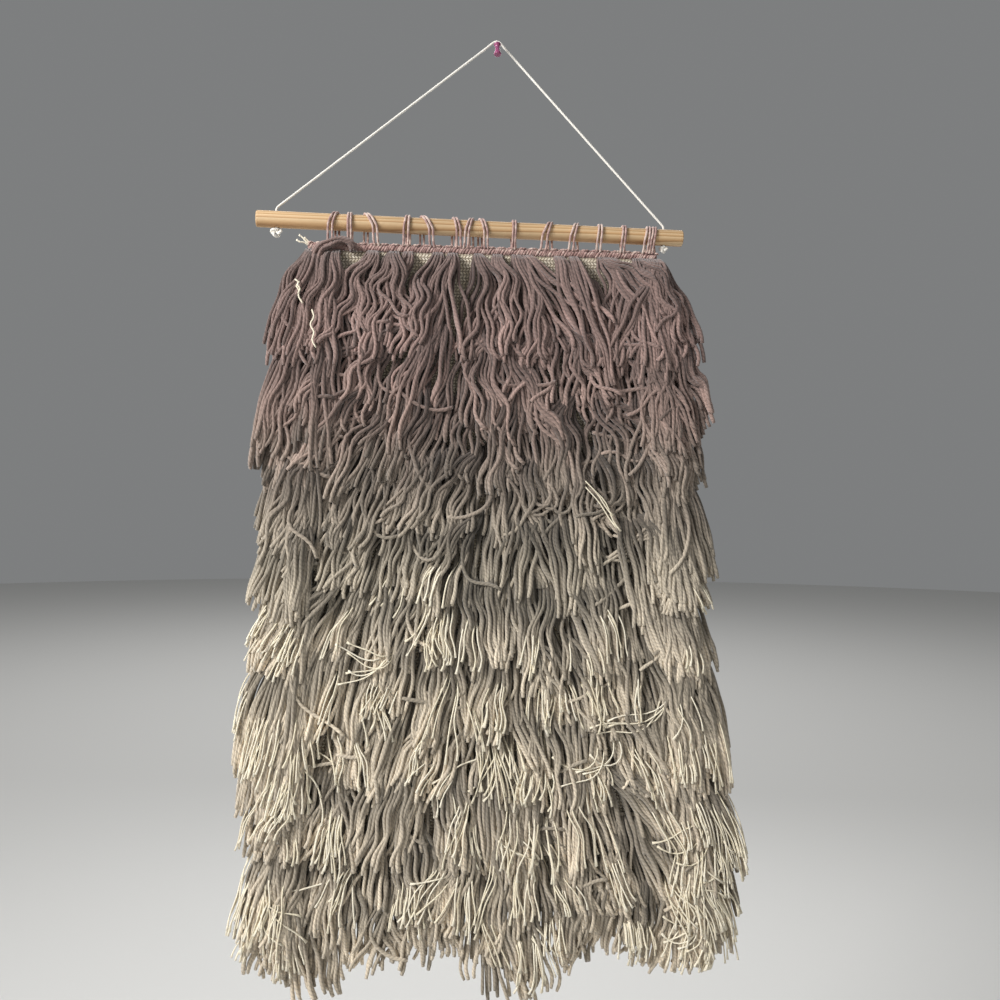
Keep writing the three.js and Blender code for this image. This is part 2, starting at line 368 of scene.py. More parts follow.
def pinPlasticMaterial():
    # injection-moulded polystyrene, tinted pink: glossy and a little see-through, deeper where it is thin
    material, tree, shader = newMaterial("mouldedPinkPolystyrene")
    spot = addNode(tree, "ShaderNodeTexCoord")
    flow = addNode(tree, "ShaderNodeTexNoise", {"Vector": spot.outputs["Object"]}, Scale=420.0, Detail=2.0)
    ramp = addNode(tree, "ShaderNodeValToRGB", {"Fac": flow.outputs[0]})
    fillRamp(ramp, [(0.3, "#93406a"), (0.7, "#b4628c")])
    scratch = addNode(tree, "ShaderNodeTexNoise", {"Vector": spot.outputs["Object"]}, Scale=2600.0)
    rough = addNode(tree, "ShaderNodeMapRange", {0: scratch.outputs[0]}, in3=0.16, in4=0.34)
    setNode(tree, shader, {"Base Color": ramp.outputs[0], "Roughness": rough.outputs[0]},
            IOR=1.59, Transmission_Weight=0.3, Subsurface_Weight=0.15, Subsurface_Scale=0.002)
    return material


def pinSteelMaterial():
    # drawn steel wire: bright, with fine marks along it from the die
    material, tree, shader = newMaterial("drawnSteelWire")
    spot = addNode(tree, "ShaderNodeTexCoord")
    marks = addNode(tree, "ShaderNodeTexNoise", {"Vector": spot.outputs["Object"]}, Scale=1800.0, Detail=2.0)
    rough = addNode(tree, "ShaderNodeMapRange", {0: marks.outputs[0]}, in3=0.2, in4=0.42)
    setNode(tree, shader, {"Roughness": rough.outputs[0]}, Base_Color=hexToLinear("#b9bcc0"), Metallic=1.0)
    return material


def makePushpin():
    bm = bmesh.new()
    verts = [bm.verts.new((x, 0, z)) for x, z in pinSet["profile"]]
    edges = [bm.edges.new(pair) for pair in zip(verts, verts[1:])]
    bmesh.ops.spin(bm, geom=verts + edges, cent=(0, 0, 0), axis=(0, 0, 1), angle=2 * math.pi,
                   steps=pinSet["turns"], use_merge=True)
    bmesh.ops.remove_doubles(bm, verts=bm.verts, dist=1e-6)
    bmesh.ops.recalc_face_normals(bm, faces=bm.faces)
    sharp = [e for e in bm.edges if len(e.link_faces) == 2 and e.calc_face_angle() > 0.6]
    bmesh.ops.bevel(bm, geom=sharp, offset=pinSet["rounding"], offset_type="OFFSET", affect="EDGES",
                    segments=2, profile=0.5, material=-1, clamp_overlap=True)
    axis = Vector((0, -math.cos(math.radians(pinSet["droop"])), -math.sin(math.radians(pinSet["droop"]))))
    turn = Vector((0, 0, 1)).rotation_difference(axis).to_matrix().to_4x4()
    bmesh.ops.transform(bm, matrix=Matrix.Translation(pinSet["foot"]) @ turn, verts=bm.verts)
    mesh = meshFrom(bm, "pinHandle")
    smoothFaces(mesh)
    mesh.set_sharp_from_angle(angle=math.radians(40))
    place(linkObject("pinHandle", mesh, pinPlasticMaterial()), "pushpin", "pushpin_plastic", "pushpin_handle")
    needle = frame["nodes"]["pushpin_needle"]
    needle.material_slots[0].material = pinSteelMaterial()
    print("pushpin")


makePushpin()


# dowel: sanded pine with a hole near each end for the cord

dowelSet = {
    "radius": 0.008, "length": 0.42, "edge": 0.0012, "sides": 96, "holeRadius": 0.00225, "holeFromEnd": 0.019,
    "ringPitch": 0.0034, "pith": (0.0, 0.021, 0.034),
    "rings": [(0.0, "#dabd94"), (0.45, "#d2b085"), (0.78, "#c1996b"), (0.92, "#a3784c"), (1.0, "#d6b78c")],
}
dowelLow, dowelHigh = boxOf("dowel")
dowelCentre = (dowelLow + dowelHigh) / 2
dowelAxis = np.array(next(j["axis"] for j in frame["joints"] if j["name"] == "loops_slide"), float)
dowelAxis /= np.linalg.norm(dowelAxis)


def pineMaterial():
    # planed and sanded pine: growth rings cut lengthways, so pale bands with honey-brown late-wood lines
    material, tree, shader = newMaterial("sandedPine")
    spot = addNode(tree, "ShaderNodeTexCoord")
    turned = addNode(tree, "ShaderNodeMapping", {"Vector": spot.outputs["Object"]},
                     Location=tuple(-(dowelCentre + np.array(dowelSet["pith"]))))
    long = addNode(tree, "ShaderNodeMapping", {"Vector": turned.outputs[0]}, Scale=(2.2, 30.0, 30.0))
    bend = addNode(tree, "ShaderNodeTexNoise", {"Vector": long.outputs[0]}, Scale=1.0, Detail=2.0)
    parts = addNode(tree, "ShaderNodeSeparateXYZ", {0: turned.outputs[0]})
    flat = addNode(tree, "ShaderNodeCombineXYZ", {"Y": parts.outputs["Y"], "Z": parts.outputs["Z"]})
    away = addNode(tree, "ShaderNodeVectorMath", {0: flat.outputs[0]}, operation="LENGTH")
    wavy = addNode(tree, "ShaderNodeMath", {0: bend.outputs[0], 2: away.outputs["Value"]},
                   operation="MULTIPLY_ADD", in1=0.009)
    ring = addNode(tree, "ShaderNodeMath", {0: wavy.outputs[0]}, operation="DIVIDE",
                   in1=dowelSet["ringPitch"])
    year = addNode(tree, "ShaderNodeMath", {0: ring.outputs[0]}, operation="FRACT")
    rings = addNode(tree, "ShaderNodeValToRGB", {"Fac": year.outputs[0]})
    fillRamp(rings, dowelSet["rings"])
    # fine fibre along the grain, and broad stains
    fine = addNode(tree, "ShaderNodeMapping", {"Vector": spot.outputs["Object"]}, Scale=(28.0, 900.0, 900.0))
    fibre = addNode(tree, "ShaderNodeTexNoise", {"Vector": fine.outputs[0]}, Scale=1.0, Detail=4.0)
    tone = addNode(tree, "ShaderNodeMapRange", {0: fibre.outputs[0]}, in3=0.82, in4=1.12)
    patch = addNode(tree, "ShaderNodeMapping", {"Vector": spot.outputs["Object"]}, Scale=(7.0, 40.0, 40.0))
    stain = addNode(tree, "ShaderNodeTexNoise", {"Vector": patch.outputs[0]}, Scale=1.0, Detail=1.0)
    warm = addNode(tree, "ShaderNodeMapRange", {0: stain.outputs[0]}, in1=0.35, in2=0.7, in3=1.06, in4=0.84)
    both = addNode(tree, "ShaderNodeMath", {0: tone.outputs[0], 1: warm.outputs[0]}, operation="MULTIPLY")
    colour = addNode(tree, "ShaderNodeVectorMath", {0: rings.outputs[0], "Scale": both.outputs[0]},
                     operation="SCALE")
    bump = addNode(tree, "ShaderNodeBump", {"Height": fibre.outputs[0]}, Strength=0.25, Distance=0.0002)
    rough = addNode(tree, "ShaderNodeMapRange", {0: fibre.outputs[0]}, in3=0.5, in4=0.68)
    setNode(tree, shader, {
        "Base Color": colour.outputs[0], "Normal": bump.outputs[0], "Roughness": rough.outputs[0],
    })
    return material


def makeDowel():
    turn = Vector((0, 0, 1)).rotation_difference(Vector(dowelAxis)).to_matrix().to_4x4()
    where = Matrix.Translation(dowelCentre) @ turn
    bm = bmesh.new()
    bmesh.ops.create_cone(bm, cap_ends=True, segments=dowelSet["sides"], radius1=dowelSet["radius"],
                          radius2=dowelSet["radius"], depth=dowelSet["length"], matrix=where)
    rims = [e for e in bm.edges if e.calc_face_angle(0) > 1]
    bmesh.ops.bevel(bm, geom=rims, offset=dowelSet["edge"], offset_type="OFFSET", affect="EDGES",
                    segments=4, profile=0.5, material=-1)
    rod = linkObject("dowelRod", meshFrom(bm, "dowelRod"), pineMaterial())
    drills = []
    across = Vector(dowelAxis).cross(Vector((0, 1, 0)))
    lift = Vector((0, 0, 1)).rotation_difference(across).to_matrix().to_4x4()
    for side in (-1, 1):
        spot = dowelCentre + dowelAxis * side * (dowelSet["length"] / 2 - dowelSet["holeFromEnd"])
        bm = bmesh.new()
        bmesh.ops.create_cone(bm, cap_ends=True, segments=32, radius1=dowelSet["holeRadius"],
                              radius2=dowelSet["holeRadius"], depth=dowelSet["radius"] * 3,
                              matrix=Matrix.Translation(spot) @ lift)
        drill = linkObject("drill", meshFrom(bm, "drill"))
        cut = rod.modifiers.new("hole", "BOOLEAN")
        cut.operation = "DIFFERENCE"
        cut.solver = "EXACT"
        cut.object = drill
        drills.append(drill)
    applyModifiers(rod)
    for drill in drills:
        bpy.data.objects.remove(drill)
    smoothFaces(rod.data)
    rod.data.set_sharp_from_angle(angle=math.radians(35))
    place(rod, "hanger", "pine", "dowel")
    print("dowel")


makeDowel()


# wool: dyed by height, so its colour comes from where it hangs

woolSet = {
    "heights": (0.2, 0.96),  # metres below the pin: the ends of the range that the dye covers
    "dye": [  # height in metres below the pin, colour
        (0.200, "#a0857d"), (0.300, "#987e76"), (0.375, "#917b71"), (0.430, "#918376"), (0.520, "#aba08e"),
        (0.590, "#c5b8a4"), (0.650, "#cfc1ab"), (0.760, "#cbbda8"), (0.950, "#c3b59f"),
    ],
    "cloud": 0.055, "jitter": 0.03, "raise": 0.042,  # metres that the dye line wanders, and half of both
    "length": 0.105, "plies": 2.0, "plyPitch": 0.0085,
    # painted shade towards the knot and painted light at the cut end, for the lower tiers, the top row and the
    # knots
    "rootShadeTipLight": (0.4, 1.22), "topRowShadeLight": (0.62, 1.05), "knotShadeLight": (0.86, 0.94),
    "finish": {"Roughness": 0.95, "Specular_IOR_Level": 0.15, "Sheen_Weight": 0.3, "Sheen_Roughness": 0.6},
}


def dyedWoolMaterial(name, shadedRootTone, litTipTone):
    # bulky two-ply wool, dip dyed: very matte, soft halo of fibre, slanted ply grooves, uneven dye; painted shade
    # in the grooves and towards the knot, painted light at the cut end
    material, tree, shader = newMaterial(name)
    low, high = woolSet["heights"]
    spot = addNode(tree, "ShaderNodeAttribute", attribute_name="rest")
    shade = addNode(tree, "ShaderNodeAttribute", attribute_name="shade")
    parts = addNode(tree, "ShaderNodeSeparateXYZ", {0: spot.outputs["Vector"]})
    cloud = addNode(tree, "ShaderNodeTexNoise", {"Vector": spot.outputs["Vector"]}, Scale=16.0, Detail=2.0)
    shift = addNode(tree, "ShaderNodeMath", {0: cloud.outputs[0], 2: parts.outputs["Z"]},
                    operation="MULTIPLY_ADD", in1=woolSet["cloud"])
    jitter = addNode(tree, "ShaderNodeMath", {0: shade.outputs["Fac"], 2: shift.outputs[0]},
                     operation="MULTIPLY_ADD", in1=woolSet["jitter"])
    height = addNode(tree, "ShaderNodeMapRange", {0: jitter.outputs[0]},
                     in1=woolSet["raise"] - low, in2=woolSet["raise"] - high)
    dye = addNode(tree, "ShaderNodeValToRGB", {"Fac": height.outputs[0]})
    fillRamp(dye, [((d - low) / (high - low), code) for d, code in woolSet["dye"]])
    # ply grooves: a slanted wave that goes round the yarn a whole number of times
    uv = addNode(tree, "ShaderNodeUVMap")
    uvParts = addNode(tree, "ShaderNodeSeparateXYZ", {0: uv.outputs["UV"]})
    turns = addNode(tree, "ShaderNodeMath", {0: uvParts.outputs["X"]}, operation="MULTIPLY",
                    in1=woolSet["length"] / woolSet["plyPitch"] * woolSet["plies"])
    winding = addNode(tree, "ShaderNodeMath", {0: uvParts.outputs["Y"], 2: turns.outputs[0]},
                      operation="MULTIPLY_ADD", in1=woolSet["plies"])
    groove = addNode(tree, "ShaderNodeMath", {0: winding.outputs[0]}, operation="PINGPONG", in1=0.5)
    fuzz = addNode(tree, "ShaderNodeTexNoise", {"Vector": spot.outputs["Vector"]}, Scale=900.0, Detail=3.0)
    # each strand a little lighter or darker, the fill strands darker as painted shade, and painted shade in its
    # ply grooves
    light = addNode(tree, "ShaderNodeMapRange", {0: shade.outputs["Fac"]}, in3=0.44, in4=1.24)
    grooveShade = addNode(tree, "ShaderNodeMapRange", {0: groove.outputs[0]}, in2=0.3, in3=0.72, in4=1.04)
    speck = addNode(tree, "ShaderNodeMapRange", {0: fuzz.outputs[0]}, in1=0.25, in2=0.75, in3=0.86, in4=1.12)
    both = addNode(tree, "ShaderNodeMath", {0: light.outputs[0], 1: grooveShade.outputs[0]}, operation="MULTIPLY")
    # painted shade near the knot, where the tier above covers the yarn, and painted light at the cut end, which
    # stands out to the light
    down = addNode(tree, "ShaderNodeMapRange", {0: uvParts.outputs["X"]}, interpolation_type="SMOOTHSTEP",
                   in1=0.15, in2=0.92, in3=shadedRootTone, in4=litTipTone)
    tonedAndShaded = addNode(tree, "ShaderNodeMath", {0: both.outputs[0], 1: down.outputs[0]}, operation="MULTIPLY")
    every = addNode(tree, "ShaderNodeMath", {0: tonedAndShaded.outputs[0], 1: speck.outputs[0]}, operation="MULTIPLY")
    colour = addNode(tree, "ShaderNodeVectorMath", {0: dye.outputs[0], "Scale": every.outputs[0]},
                     operation="SCALE")
    relief = addNode(tree, "ShaderNodeMath", {0: fuzz.outputs[0], 2: groove.outputs[0]},
                     operation="MULTIPLY_ADD", in1=0.35)
    bump = addNode(tree, "ShaderNodeBump", {"Height": relief.outputs[0]}, Strength=0.55, Distance=0.0007)
    setNode(tree, shader, {"Base Color": colour.outputs[0], "Normal": bump.outputs[0]}, **woolSet["finish"])
    return material


def cottonStringMaterial():
    # thin undyed cotton, softly twisted: the brightest thing in the fringe
    material, tree, shader = newMaterial("thinUndyedCotton")
    uv = addNode(tree, "ShaderNodeUVMap")
    shade = addNode(tree, "ShaderNodeAttribute", attribute_name="shade")
    twist = addNode(tree, "ShaderNodeMapping", {"Vector": uv.outputs["UV"]}, Scale=(60.0, 3.0, 1.0))
    noise = addNode(tree, "ShaderNodeTexNoise", {"Vector": twist.outputs[0]}, Scale=1.0, Detail=2.0)
    mixed = addNode(tree, "ShaderNodeMath", {0: shade.outputs["Fac"], 2: noise.outputs[0]},
                    operation="MULTIPLY_ADD", in1=0.4)
    ramp = addNode(tree, "ShaderNodeValToRGB", {"Fac": mixed.outputs[0]})
    fillRamp(ramp, [(0.25, "#d8cbae"), (0.6, "#eadfc5"), (1.0, "#f5edda")])
    setNode(tree, shader, {"Base Color": ramp.outputs[0]}, Roughness=0.85, Sheen_Weight=0.25)
    return material


# sewn edge and the yarn loops that carry it on the dowel

edgeSet = {
    "yarn": 0.0029, "pitch": 0.0025, "deep": 0.0015, "tall": 0.0024, "turnPoints": 10, "inset": 0.001,
    "level": 0.0036, "coresApart": 0.0016, "coreRadius": 1.1, "stitchPitch": 0.0052, "stitchLength": 0.0062,
    "stitchRadius": 0.62, "roundedFrom": 0.965, "fallsFrom": 0.9, "falls": 0.0012,
    "loopYarn": 0.0024, "loopApart": 0.00125, "loopSpread": 0.0019, "loopGap": 0.0002, "loopFoot": 0.0022,
    "loopBends": 14, "loopLean": 0.0006,
}
headerLow, headerHigh = boxOf("header_edge")


def edgeWoolMaterial():
    # two-ply wool in mauve and undyed cream plied together: a mottled, matte pink
    material, tree, shader = newMaterial("marledMauveWool")
    spot = addNode(tree, "ShaderNodeTexCoord")
    shade = addNode(tree, "ShaderNodeAttribute", attribute_name="shade")
    marl = addNode(tree, "ShaderNodeTexNoise", {"Vector": spot.outputs["Object"]}, Scale=230.0, Detail=2.0)
    mixed = addNode(tree, "ShaderNodeMath", {0: shade.outputs["Fac"], 2: marl.outputs[0]},
                    operation="MULTIPLY_ADD", in1=0.35)
    ramp = addNode(tree, "ShaderNodeValToRGB", {"Fac": mixed.outputs[0]})
    fillRamp(ramp, [(0.38, "#73554f"), (0.56, "#9c7b75"), (0.72, "#b5958d"), (0.9, "#d3bdb1")])
    fuzz = addNode(tree, "ShaderNodeTexNoise", {"Vector": spot.outputs["Object"]}, Scale=1100.0, Detail=3.0)
    speck = addNode(tree, "ShaderNodeMapRange", {0: fuzz.outputs[0]}, in3=0.78, in4=1.16)
    colour = addNode(tree, "ShaderNodeVectorMath", {0: ramp.outputs[0], "Scale": speck.outputs[0]},
                     operation="SCALE")
    bump = addNode(tree, "ShaderNodeBump", {"Height": fuzz.outputs[0]}, Strength=0.6, Distance=0.0005)
    setNode(tree, shader, {"Base Color": colour.outputs[0], "Normal": bump.outputs[0]}, **woolSet["finish"])
    return material


def makeHeader(wool):
    left, right = headerLow[0] + edgeSet["inset"], headerHigh[0] - edgeSet["inset"]
    middle = (headerLow[1] + headerHigh[1]) / 2
    level = headerLow[2] + edgeSet["level"]
    length = right - left
    turns = length / edgeSet["pitch"]
    t = np.linspace(0, 1, int(turns * edgeSet["turnPoints"]))
    angle = 2 * math.pi * turns * t
    end = 1 - smoothStep((t - edgeSet["roundedFrom"]) / (1 - edgeSet["roundedFrom"])) * 0.35
    fall = edgeSet["falls"] * smoothStep((t - edgeSet["fallsFrom"]) / (1 - edgeSet["fallsFrom"]))
    wobble = 1 + 0.1 * np.sin(angle * 0.37) + 0.06 * np.sin(angle * 0.131 + 1)
    x = left + length * t + 0.0007 * np.sin(angle * 0.21) + 0.0013 * np.sin(angle)
    y = middle - np.cos(angle) * edgeSet["deep"] * wobble
    z = level + np.sin(angle) * edgeSet["tall"] * wobble * end - fall
    strands = [strand(lineOf(x, y, z), 1.0, 0.45)]
    for side in (-1, 0, 1):
        core = lineOf(np.linspace(left, right, 90), middle, level + side * edgeSet["coresApart"])
        strands.append(strand(core, edgeSet["coreRadius"], 0.2))
    # chain stitches lie along the top and give it small bumps
    count = int(length / edgeSet["stitchPitch"])
    for i in range(count):
        start = left + (i + 0.1) * length / count
        fall = edgeSet["falls"] * smoothStep((start - left) / length * 10 - 9)
        s = np.linspace(0, 1, 6)
        x = start + s * edgeSet["stitchLength"]
        y = middle - 0.0012 + 0.0016 * np.sin(s * math.pi * 2) * (1 if i % 2 else -1)
        z = level + edgeSet["tall"] + 0.0006 + 0.0009 * np.sin(s * math.pi) - fall
        strands.append(strand(lineOf(x, y, z), edgeSet["stitchRadius"], rng.uniform(0.3, 1.0)))
    piece = yarnPiece("sewnEdge", strands, edgeSet["yarn"], wool)
    place(piece, "panel", "wool_edge", "header_edge")
    print("sewn edge", int(turns), "turns")
    return piece


def loopStrands(node):
    # the loop's line read from its solid: where it leaves the edge, and where it crosses the dowel
    spots = np.array([v.co[:] for v in frame["nodes"][node].data.vertices])
    low, high = spots[:, 2].min(), spots[:, 2].max()
    front = spots[(spots[:, 2] < low + 0.001) & (spots[:, 1] < dowelCentre[1])]
    bottomX = front[:, 0].mean()
    topX = spots[spots[:, 2] > high - 0.001][:, 0].mean()
    centreZ = dowelCentre[2] + (topX - dowelCentre[0]) * dowelAxis[2] / dowelAxis[0]
    radius = dowelSet["radius"] + edgeSet["loopYarn"] / 2 + edgeSet["loopGap"]
    drop = centreZ - headerHigh[2] + edgeSet["loopFoot"]
    spread = edgeSet["loopSpread"]
    tangent = math.acos(radius / math.hypot(drop, spread))
    first = math.atan2(-drop, -spread) - tangent
    last = -math.pi - first
    steps = edgeSet["loopBends"]
    bend = [first + (last - 2 * math.pi - first) * i / steps for i in range(steps + 1)]
    section = [(-spread, -drop), (-spread - 0.001, -drop + 0.003)]
    section += [(radius * math.cos(a), radius * math.sin(a)) for a in bend] + [(spread, -drop)]
    strands = []
    for side in (-1, 1):
        lean = rng.normal(0, edgeSet["loopLean"])
        line = []
        for i, (y, z) in enumerate(section):
            share = 2 * i / (len(section) - 1)
            along = min(share, 1)
            across = side * edgeSet["loopApart"] * (1 + 0.5 * abs(1 - share))
            x = bottomX + (topX - bottomX) * along + across + lean * (1 - along)
            line.append((x, dowelCentre[1] + y, centreZ + z))
        strands.append(strand(smoothRoute(line, 0.002), 1.0, rng.uniform(0.45, 1.0)))
    return strands


def makeLoops(wool):
    names = sorted(name for name in frame["nodes"] if name.startswith("yarn_loop_"))
    for name in names:
        piece = yarnPiece("yarnLoop" + name[-2:], loopStrands(name), edgeSet["loopYarn"], wool)
        place(piece, "loops", "wool_edge", name)
    print("yarn loops", len(names))


# ground cloth: weft-faced weave, so ribs run across it

clothSet = {
    "columns": 48, "rows": 800, "rib": 0.00324, "ribHeight": 0.00026, "thickness": 0.0019,
    "topWidth": (-0.184, 0.164), "bottomWidth": (-0.216, 0.218), "edgeTurn": 0.0008, "edgeReach": 0.002,
    "stitch": (0.0031, 0.00324), "mortar": 0.0007, "slant": 0.75,
}
clothLow, clothHigh = boxOf("ground_cloth")


def clothMaterial():
    # undyed cotton weft beaten down over the warp: cream, matte, its stitches leaning left and right by turns
    material, tree, shader = newMaterial("weftFacedCotton")
    wide, tall = clothSet["stitch"]
    spot = addNode(tree, "ShaderNodeTexCoord")
    parts = addNode(tree, "ShaderNodeSeparateXYZ", {0: spot.outputs["Object"]})
    turned = addNode(tree, "ShaderNodeMath", {0: parts.outputs["Z"]}, operation="PINGPONG", in1=tall)
    slant = addNode(tree, "ShaderNodeMath", {0: turned.outputs[0], 2: parts.outputs["X"]},
                    operation="MULTIPLY_ADD", in1=clothSet["slant"])
    flat = addNode(tree, "ShaderNodeCombineXYZ", {"X": slant.outputs[0], "Y": parts.outputs["Z"]})
    weave = addNode(tree, "ShaderNodeTexBrick", {"Vector": flat.outputs[0]}, offset=0.0, Scale=1.0,
                    Brick_Width=wide, Row_Height=tall, Mortar_Size=clothSet["mortar"], Mortar_Smooth=1.0,
                    Color1=hexToLinear("#f8ecd8"), Color2=hexToLinear("#e6d7bd"),
                    Mortar=hexToLinear("#8c7b62"))
    dust = addNode(tree, "ShaderNodeTexNoise", {"Vector": spot.outputs["Object"]}, Scale=700.0, Detail=3.0)
    tone = addNode(tree, "ShaderNodeMapRange", {0: dust.outputs[0]}, in3=0.85, in4=1.12)
    colour = addNode(tree, "ShaderNodeVectorMath", {0: weave.outputs["Color"], "Scale": tone.outputs[0]},
                     operation="SCALE")
    relief = addNode(tree, "ShaderNodeMath", {0: weave.outputs["Fac"], 2: dust.outputs[0]},
                     operation="MULTIPLY_ADD", in1=-2.0)
    bump = addNode(tree, "ShaderNodeBump", {"Height": relief.outputs[0]}, Strength=0.85, Distance=0.0006)
    setNode(tree, shader, {"Base Color": colour.outputs[0], "Normal": bump.outputs[0]},
            Roughness=0.93, Sheen_Weight=0.2)
    return material


def clothEdges(z):
    # left and right edge of the cloth at a height
    down = (clothHigh[2] - z) / (clothHigh[2] - clothLow[2])
    return [a + (b - a) * down for a, b in zip(clothSet["topWidth"], clothSet["bottomWidth"])]


def clothFace(x, z):
    # y of the middle of the cloth: it hangs in very shallow waves
    middle = (clothLow[1] + clothHigh[1]) / 2
    return middle + 0.0004 * np.sin(x * 31 + z * 4) + 0.0003 * np.sin(x * 13 - z * 17)


def makeCloth():
    bm = bmesh.new()
    bmesh.ops.create_grid(bm, x_segments=clothSet["columns"], y_segments=clothSet["rows"], size=0.5,
                          matrix=Matrix.Rotation(math.radians(90), 4, "X"))
    top, bottom = clothHigh[2], clothLow[2]
    for vert in bm.verts:
        z = bottom + (top - bottom) * (vert.co.z + 0.5)
        left, right = clothEdges(z)
        x = left + (right - left) * (vert.co.x + 0.5)
        if min(x - left, right - x) < clothSet["edgeReach"]:  # the weft turns round the last warp
            x += clothSet["edgeTurn"] * math.sin(z * 900)
        rib = clothSet["ribHeight"] * math.sin(2 * math.pi * z / clothSet["rib"] + 0.5 * math.sin(x * 45))
        vert.co = (x, clothFace(x, z) + rib, z)
    cloth = linkObject("groundCloth", meshFrom(bm, "groundCloth"), clothMaterial())
    thick = cloth.modifiers.new("thickness", "SOLIDIFY")
    thick.thickness = clothSet["thickness"]
    thick.offset = 0
    applyModifiers(cloth)
    smoothFaces(cloth.data)
    place(cloth, "panel", "cotton_cloth", "ground_cloth")
    print("ground cloth", len(cloth.data.polygons), "faces")
    return cloth


# knots: each bundle is looped across two warps in front and shows as short bars at the back

knotSet = {
    "half": 0.0048, "bars": 2, "yarn": 0.0029, "barsApart": 0.0017, "backHalf": 0.0036, "backApart": 0.0026,
    "above": 0.0008, "proud": 0.0028, "topAbove": 0.0026, "topProud": 0.0012, "backProud": 0.0013,
    "jitter": 0.0003, "frontRadius": 0.92, "backRadius": 0.85,
}


def arch(s):
    # half a circle's height, for s from -1 to 1
    return np.sqrt(np.clip(1 - s ** 2, 0, 1))


def shadeNear(bundle, spread):
    return np.clip(bundle["shade"] + rng.normal(0, spread), 0, 1)


def makeKnotRow(k, bundles, wool):
    strands = []
    bars = 1 if k == 0 else knotSet["bars"]
    above = knotSet["topAbove" if k == 0 else "above"]
    proud = knotSet["topProud" if k == 0 else "proud"]
    for bundle in bundles:
        for i in range(bars):
            s = np.linspace(-1, 1, 7)
            x = bundle["x"] + s * (knotSet["half"] * rng.uniform(0.9, 1.12))
            y = clothLow[1] - 0.0002 - proud * arch(s)
            z = bundle["z"] + above + (i - (bars - 1) / 2) * knotSet["barsApart"] - 0.0012 * s ** 2
            z = z + rng.normal(0, knotSet["jitter"])
            strands.append(strand(lineOf(x, y, z), knotSet["frontRadius"], shadeNear(bundle, 0.15)))
        for i in range(2):
            s = np.linspace(-1, 1, 6)
            x = bundle["x"] + s * knotSet["backHalf"] * rng.uniform(0.85, 1.1)
            y = clothHigh[1] - 0.0003 + knotSet["backProud"] * arch(s)
            z = bundle["z"] + (i - 0.5) * knotSet["backApart"] + rng.normal(0, knotSet["jitter"]) + s * 0.0004
            strands.append(strand(lineOf(x, y, z), knotSet["backRadius"], shadeNear(bundle, 0.1)))
    node = f"knot_row_{k + 1:02d}"
    piece = yarnPiece(f"knotRow{k + 1:02d}", strands, knotSet["yarn"], wool)
    place(piece, "panel", slotOf(node), node)
    return piece


# fringe: every strand is laid on what already hangs below it, like thatch

fringeSet = {
    "thickness": 0.0038, "points": 18, "bundleWidth": 0.0195, "rootHalf": 0.0046, "bends": 6,
    "layers": [(6, "fill"), (5, "bundle"), (4, "bundle")],
    "lengths": [0.103, 0.115, 0.113, 0.108, 0.102, 0.104, 0.110, 0.105, 0.110, 0.108, 0.088],
    "lengthVaries": (0.1, 0.17),  # of the upper tiers and of the lowest
    "ragged": 0.1, "raggedLength": 0.17,  # share and metres: the cut ends rise and fall along a row
    "edgeLonger": 1.08, "edgeStep": 0.005,
    "waves": [0.52, 0.54, 0.50, 0.40, 0.31, 0.26, 0.24, 0.24, 0.24, 0.24, 0.26],  # radians that bundles bend
    "sway": [-1, -3, -5, -5, -3, 0, 1, 2, 4, 3, 0],  # degrees, the whole tier to the right
    "edgeLean": [27, 30, 28, 26, 24, 22, 22, 22, 22, 21, 2],  # degrees at the side edges
    "drift": 9.0, "driftLength": 0.16,  # degrees and metres: neighbouring bundles fall the same way
    "curls": [  # tier, x from, x to, how far the ends turn back, in radians
        (3, 0.025, 0.055, 3.4), (3, 0.08, 0.1, -2.2),
    ],
    "bulge": (0.001, 0.007), "tip": (0.001, 0.010), "crown": (0.001, 0.0045),  # lifts off the pile, metres
    "spread": (0.9, 1.3), "shade": (0.15, 0.85), "uneven": 0.005,
    "opening": {"fill": [4.5, 1.5, 0.2, -0.4], "bundle": [3.4, 2.4, -0.4, -2.6]},  # how a layer fans out
    "deepest": 0.0315, "cottonDeepest": 0.0342, "beyondCloth": 0.043,
    "cottonPerTier": [0, 0, 0, 3, 14, 70, 110, 125, 130, 130, 100],
    "cottonThickness": 0.0016, "cottonProud": 0.004,
    "bareTall": 0.022,
    "bare": [  # x from and to of the patches of cloth left bare under the sewn edge
        (-0.153, -0.126), (-0.083, -0.07), (0.003, 0.02), (0.034, 0.044), (0.085, 0.103),
        (0.118, 0.133), (0.146, 0.157),
    ],
}

pileCell = 0.0015
pileLow = np.array([-0.29, -0.98])
pileShape = (540, 390)
pile = np.zeros(pileShape)  # how far the yarn stands out from the cloth, by height and place


def cellsOf(x, z):
    column = np.clip(((x - pileLow[0]) / pileCell).astype(int), 1, pileShape[1] - 2)
    row = np.clip(((z - pileLow[1]) / pileCell).astype(int), 1, pileShape[0] - 2)
    return row, column


